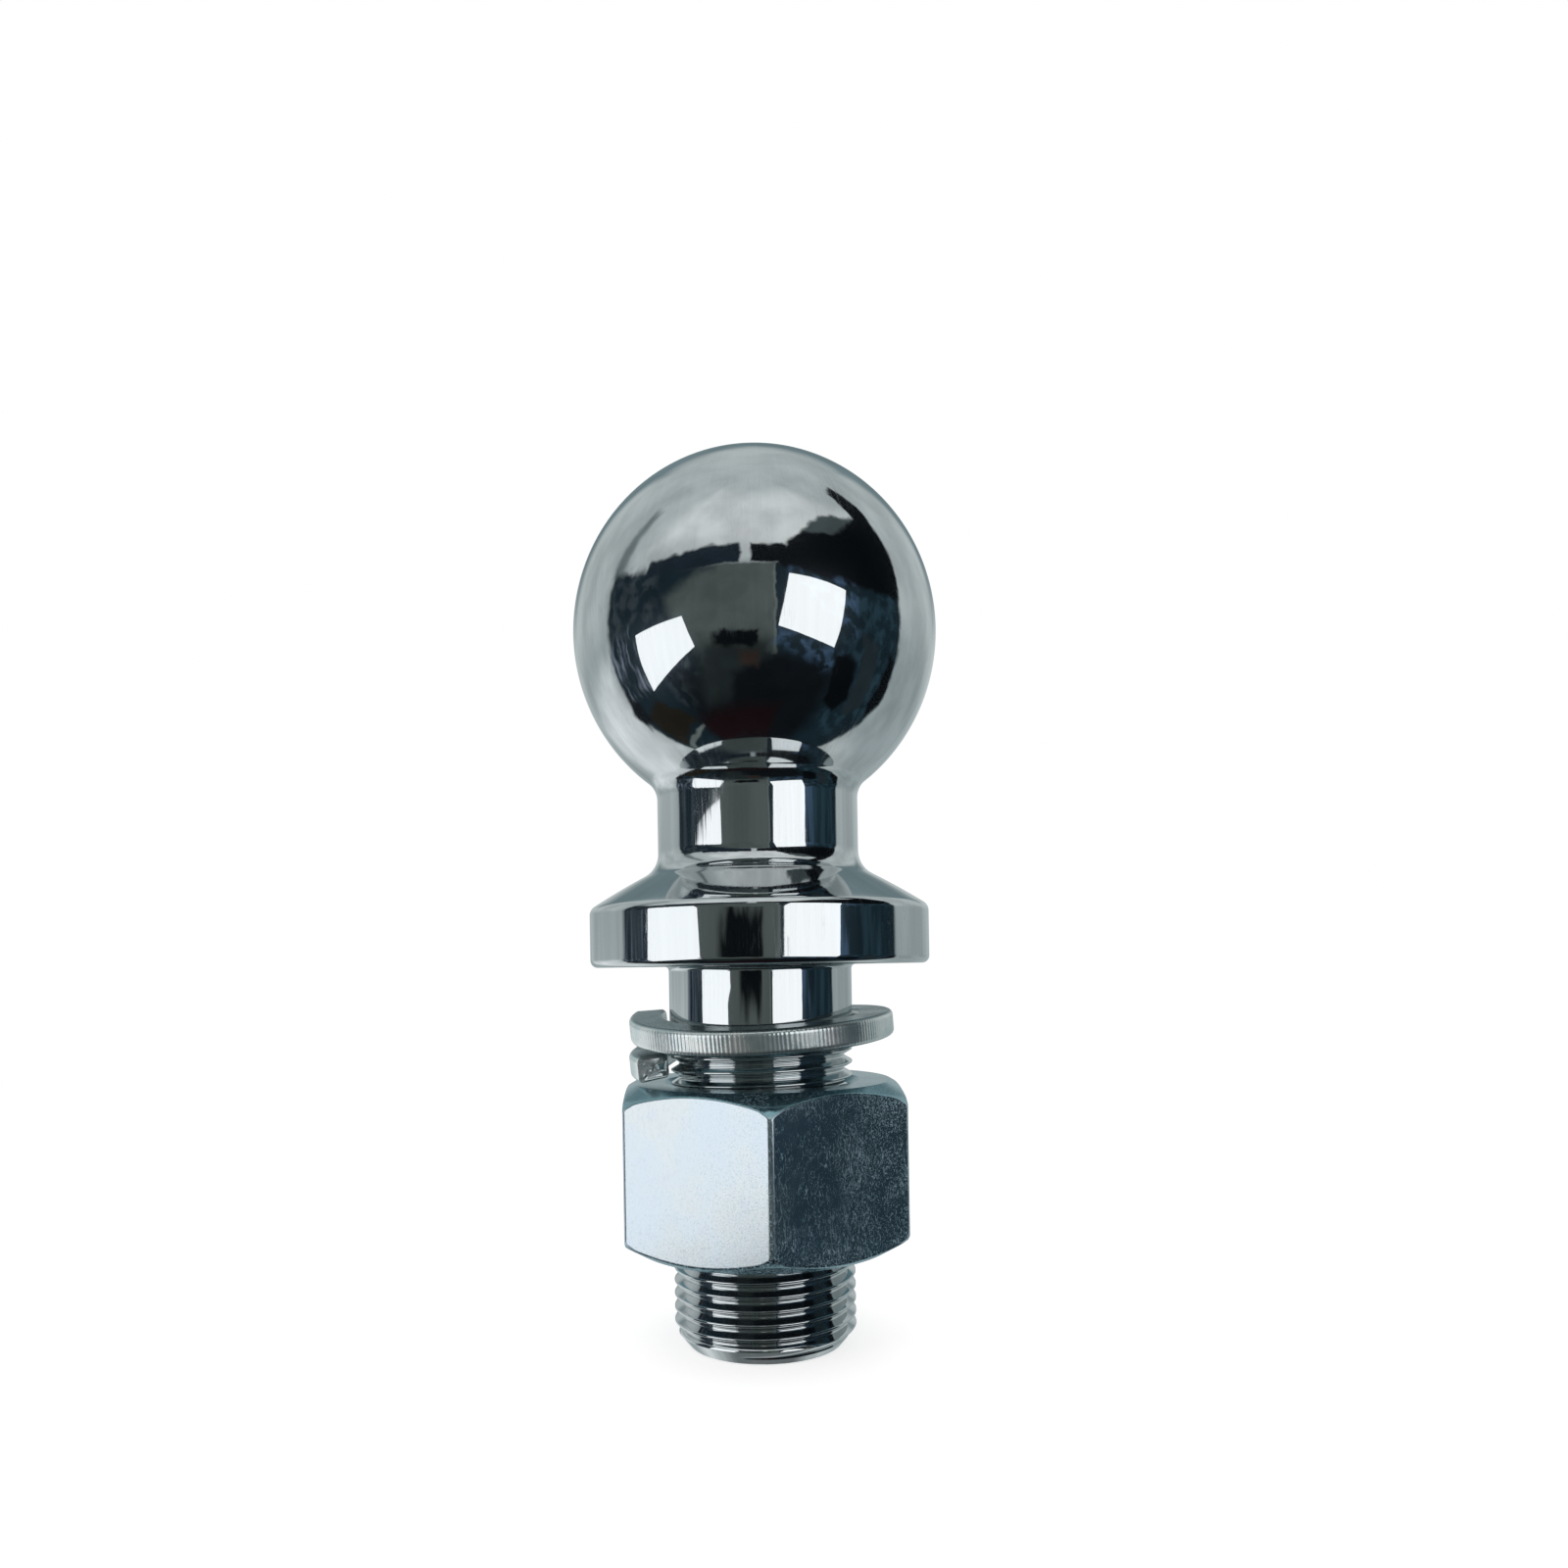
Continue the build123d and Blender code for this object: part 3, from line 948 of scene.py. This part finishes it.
def nut_zinc_plate():
    """Bright zinc: grainy, faintly coloured in patches, scratched, and darker on its ends, partly for their
    turned finish and partly as painted shade.
    """
    material, nodes = new_material("nut_zinc_plate")
    place = nodes.coordinates()
    grain = nodes.noise(place, 4200, 2.0)
    patches = nodes.noise(place, 120, 3.0)
    blotches = nodes.noise(place, 420, 3.0, turn=(1, 1, 0))
    tint = nodes.mix(nodes.ramp(patches, 0.38, 0.62), *NUT_ZINC)
    tint = nodes.mix(nodes.ramp(blotches, 0.55, 0.72, 0.0, 0.5), tint, NUT_BLOTCH)
    # Painted shade, partly turned finish: faces that point up or down take the darker end colour
    tint = nodes.mix(nodes.level(0.25, 0.6), tint, NUT_TURNED_END_AND_SHADE)
    wear = nut_wear(nodes, place, patches)
    scratches = nut_scratches(nodes, place, wear, patches, blotches)
    speckle = nodes.ramp(grain, 0.52, 0.66)
    roughness = nodes.ramp(patches, 0.3, 0.7, *NUT_ROUGHNESS)
    roughness = nodes.math("MULTIPLY_ADD", speckle, 0.06, roughness)
    height = nodes.math("MULTIPLY_ADD", blotches, 1.5, grain)
    sharp = nodes.metal(tint, roughness, nodes.bump(height, NUT_GRAIN))
    plated = nodes.mix_shaders(0.05, sharp, nodes.metal(NUT_FILM, 0.50))
    scraped = nodes.add("BsdfPrincipled", {"Base Color": NUT_SCRAPED, "Roughness": 0.6}).outputs[0]
    grains = nodes.math("MULTIPLY", speckle, nodes.math("MULTIPLY_ADD", wear, 0.20, 0.01))
    share = nodes.math("MULTIPLY_ADD", scratches, 0.15, grains)
    nodes.finish(nodes.mix_shaders(share, plated, scraped))
    return material


def washer_zinc_plate():
    """Duller zinc over spring steel, stained in places, with painted shade that darkens its flat faces."""
    material, nodes = new_material("washer_zinc_plate")
    place = nodes.coordinates()
    grain = nodes.noise(place, 3800, 2.0)
    stains = nodes.noise(place, 230, 4.0)
    tint = nodes.mix(nodes.ramp(stains, 0.36, 0.66), *WASHER_ZINC)
    # Painted shade: faces turned up or down take the darker colour
    tint = nodes.mix(nodes.level(0.5, 0.9), tint, WASHER_FACE_SHADE)
    roughness = nodes.ramp(stains, 0.3, 0.7, *WASHER_ROUGHNESS)
    height = nodes.math("MULTIPLY_ADD", stains, 1.5, grain)
    bump = nodes.bump(height, WASHER_GRAIN)
    sharp, dull = nodes.metal(tint, roughness, bump), nodes.metal(tint, 0.55, bump)
    nodes.finish(nodes.mix_shaders(0.35, sharp, dull))
    return material


add_camera()
add_world()
add_floor()
add_black_card()
add_softbox(
    "right_softbox",
    azimuth=35.3,
    elevation=4.1,
    distance=0.6,
    turn=-0.9,
    tilt=-9.1,
    roll=-11.7,
    width=0.390,
    height=0.346,
    radiance=SOFTBOX_RADIANCE,
)
add_light_card("far_left_softbox", LEFT_SOFTBOX, FAR_CARD_DISTANCE)
add_light_card("near_left_softbox", LEFT_SOFTBOX, NEAR_CARD_DISTANCE, ragged=RAGGED_HEIGHT)

add_piece("ball_and_shank", make_stud(), chrome_plate(), "stud", "ball_stud")
add_piece("split_washer", make_washer(), washer_zinc_plate(), "washer", "spring_washer")
add_piece("nut_with_thread", make_nut(), nut_zinc_plate(), "nut", "hex_nut")

bpy.context.scene.view_settings.view_transform = "Standard"
